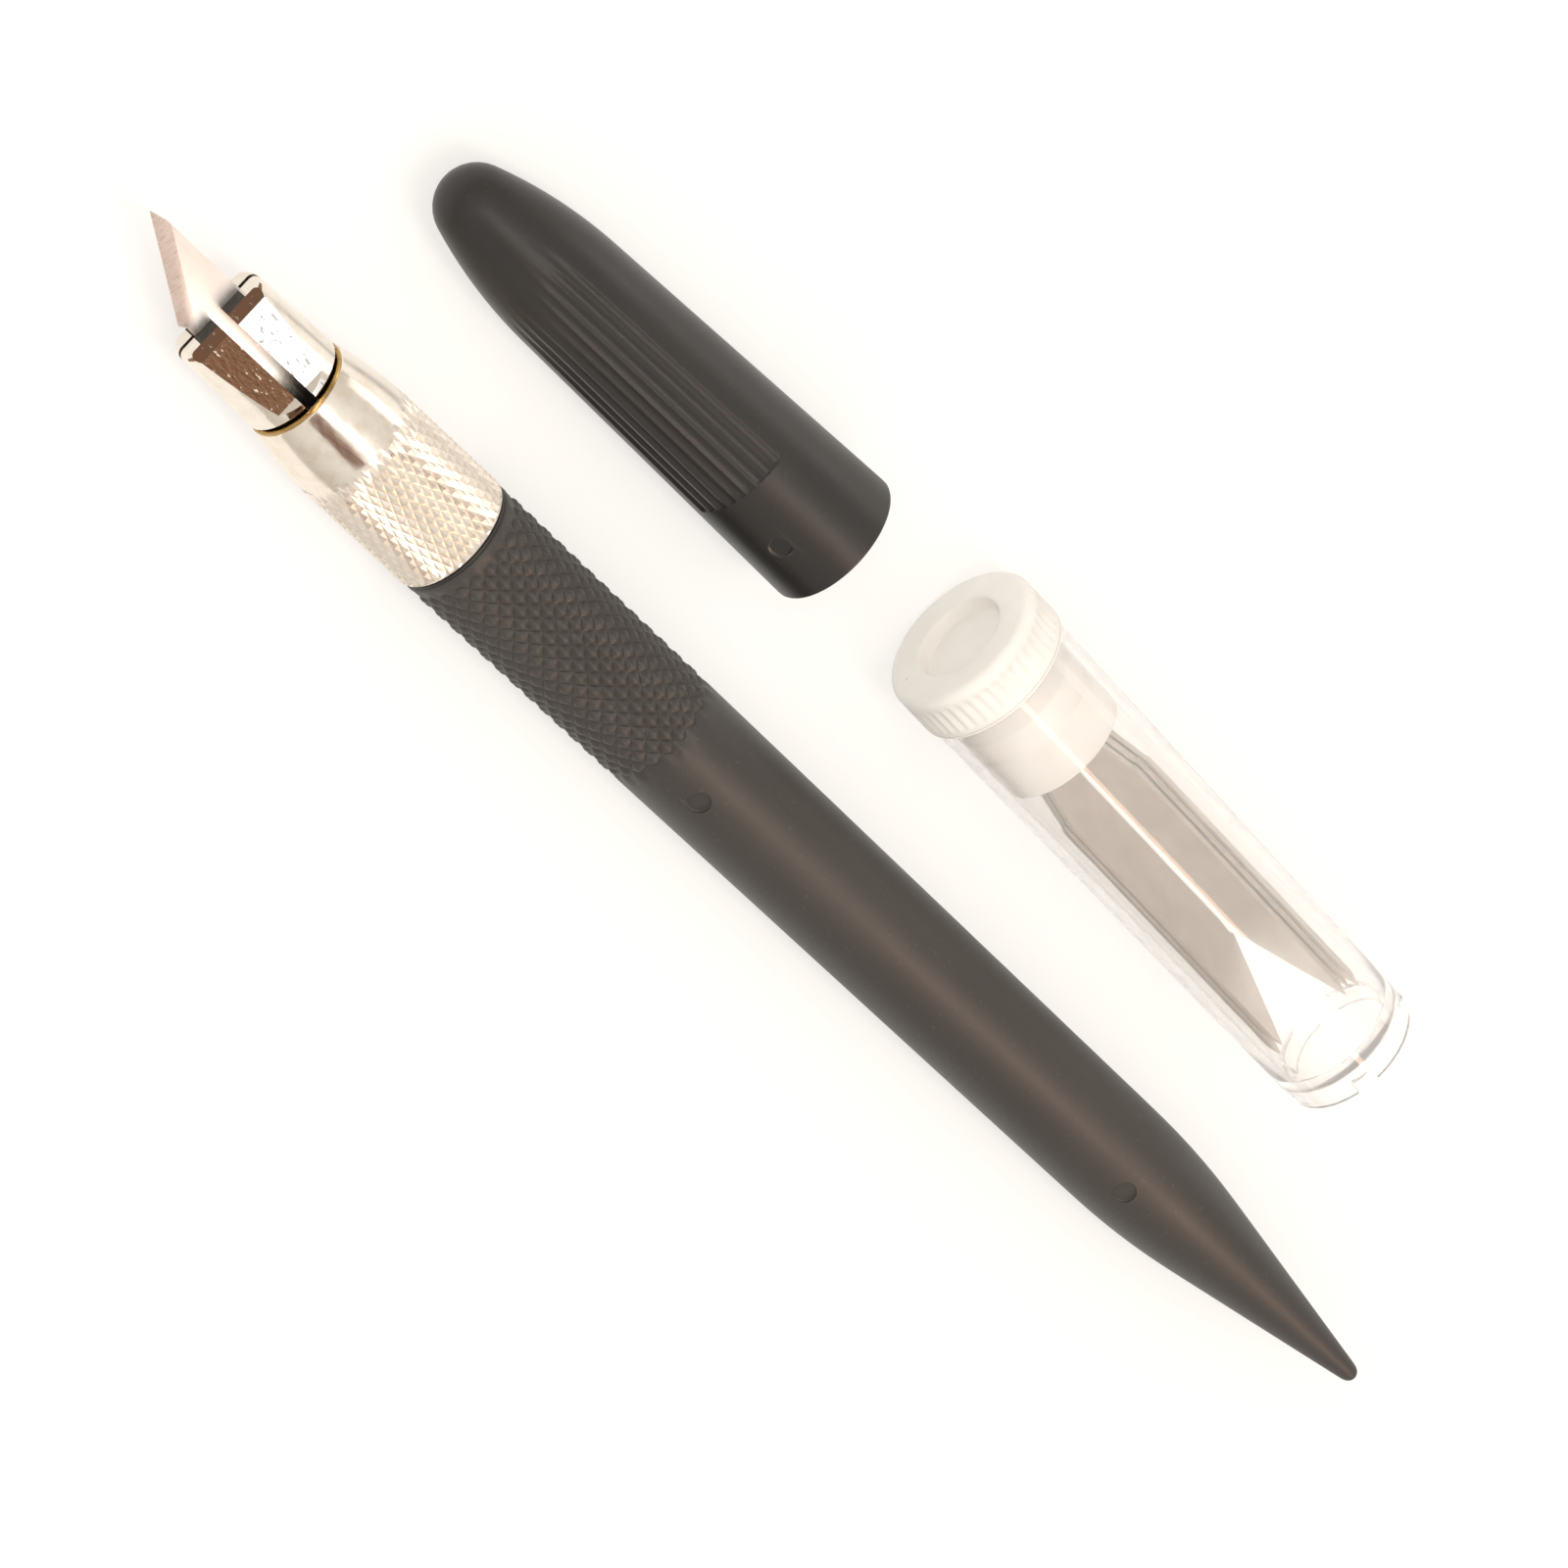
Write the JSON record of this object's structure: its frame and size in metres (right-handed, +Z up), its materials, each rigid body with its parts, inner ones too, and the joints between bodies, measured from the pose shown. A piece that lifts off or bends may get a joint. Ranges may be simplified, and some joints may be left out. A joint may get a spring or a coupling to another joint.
{
  "type": "hobby craft knife",
  "caption": "Precision craft knife with a clamped pointed blade in a four-jaw chuck, knurled sleeve and dark handle, with its push-on cap and clear vial of spare blades",
  "frame": {"origin": "on the surface that the set lies on, under the middle of its footprint", "axes": "+X runs along the knife from the blade's point towards the tail, +Y is the side where the cap and vial lie, +Z is up"},
  "size_m": [0.1704, 0.0376, 0.0155],
  "materials": {
    "dark_plastic": "fine matt moulded",
    "black_plastic": "plain",
    "chrome": "bright plated, knurled on the sleeve",
    "brass": "turned",
    "spring_steel": "plain",
    "blade_steel": "ground flat",
    "clear_plastic": "clear moulded",
    "milky_plastic": "milky translucent"
  },
  "bodies": {
    "handle_body": {"handle": "dark_plastic", "collet_socket": "brass", "sleeve_clip": "spring_steel", "thrust_washer": "black_plastic"},
    "sleeve_body": {"chuck_sleeve": "chrome", "sleeve_bush": "brass"},
    "collet_body": {"collet_stem": "chrome"},
    "blade_body": {"blade": "blade_steel"},
    "cap_body": {"cap": "dark_plastic"},
    "vial_body_group": {"vial_body": "clear_plastic"},
    "lid_body": {"vial_lid": "milky_plastic"},
    "jaw_1_body": {"jaw_1": "chrome"},
    "jaw_2_body": {"jaw_2": "chrome"},
    "jaw_3_body": {"jaw_3": "chrome"},
    "jaw_4_body": {"jaw_4": "chrome"},
    "spare_blade_1_body": {"spare_blade_1": "blade_steel"},
    "spare_blade_2_body": {"spare_blade_2": "blade_steel"},
    "spare_blade_3_body": {"spare_blade_3": "blade_steel"},
    "spare_blade_4_body": {"spare_blade_4": "blade_steel"},
    "spare_blade_5_body": {"spare_blade_5": "blade_steel"}
  },
  "joints": [
    {"name": "sleeve_turn", "type": "hinge", "parent": "handle_body", "child": "sleeve_body", "pos_m": [-0.04825, -0.01273, 0.0061], "axis": [1, 0, 0], "range_deg": [0, 540]},
    {"name": "collet_draw", "type": "slide", "parent": "handle_body", "child": "collet_body", "axis": [-1, 0, 0], "range_m": [0, 0.00113]},
    {"name": "jaw_1_open", "type": "hinge", "parent": "collet_body", "child": "jaw_1_body", "pos_m": [-0.05225, -0.01032, 0.0085], "axis": [0, 0.7071, -0.7071], "range_deg": [0, 0.805]},
    {"name": "jaw_2_open", "type": "hinge", "parent": "collet_body", "child": "jaw_2_body", "pos_m": [-0.05225, -0.01513, 0.0085], "axis": [0, 0.7071, 0.7071], "range_deg": [0, 0.805]},
    {"name": "jaw_3_open", "type": "hinge", "parent": "collet_body", "child": "jaw_3_body", "pos_m": [-0.05225, -0.01032, 0.0037], "axis": [0, -0.7071, -0.7071], "range_deg": [0, 0.805]},
    {"name": "jaw_4_open", "type": "hinge", "parent": "collet_body", "child": "jaw_4_body", "pos_m": [-0.05225, -0.01513, 0.0037], "axis": [0, -0.7071, 0.7071], "range_deg": [0, 0.805]},
    {"name": "blade_slide", "type": "slide", "parent": "collet_body", "child": "blade_body", "axis": [-1, 0, 0], "range_m": [0, 0.032]},
    {"name": "cap_slide", "type": "slide", "parent": "handle_body", "child": "cap_body", "axis": [-1, 0, 0], "range_m": [0, 0.08]},
    {"name": "vial_slide", "type": "slide", "parent": "handle_body", "child": "vial_body_group", "axis": [0, 1, 0], "range_m": [0, 0.05]},
    {"name": "lid_pull", "type": "slide", "parent": "vial_body_group", "child": "lid_body", "axis": [-0.9988, 0.0454, 0.0173], "range_m": [0, 0.0135]},
    {"name": "spare_blade_1_slide", "type": "slide", "parent": "vial_body_group", "child": "spare_blade_1_body", "axis": [-0.9988, 0.0454, 0.0173], "range_m": [0, 0.0018]},
    {"name": "spare_blade_2_slide", "type": "slide", "parent": "vial_body_group", "child": "spare_blade_2_body", "axis": [-0.9988, 0.0454, 0.0173], "range_m": [0, 0.0018]},
    {"name": "spare_blade_3_slide", "type": "slide", "parent": "vial_body_group", "child": "spare_blade_3_body", "axis": [-0.9988, 0.0454, 0.0173], "range_m": [0, 0.0018]},
    {"name": "spare_blade_4_slide", "type": "slide", "parent": "vial_body_group", "child": "spare_blade_4_body", "axis": [-0.9988, 0.0454, 0.0173], "range_m": [0, 0.0018]},
    {"name": "spare_blade_5_slide", "type": "slide", "parent": "vial_body_group", "child": "spare_blade_5_body", "axis": [-0.9988, 0.0454, 0.0173], "range_m": [0, 0.0018]}
  ],
  "couplings": [
    {"joint": "collet_draw", "follows": "sleeve_turn", "m_per_rad": 0.00011937},
    {"joint": "jaw_1_open", "follows": "sleeve_turn", "ratio": 0.0014815},
    {"joint": "jaw_2_open", "follows": "sleeve_turn", "ratio": 0.0014815},
    {"joint": "jaw_3_open", "follows": "sleeve_turn", "ratio": 0.0014815},
    {"joint": "jaw_4_open", "follows": "sleeve_turn", "ratio": 0.0014815}
  ]
}
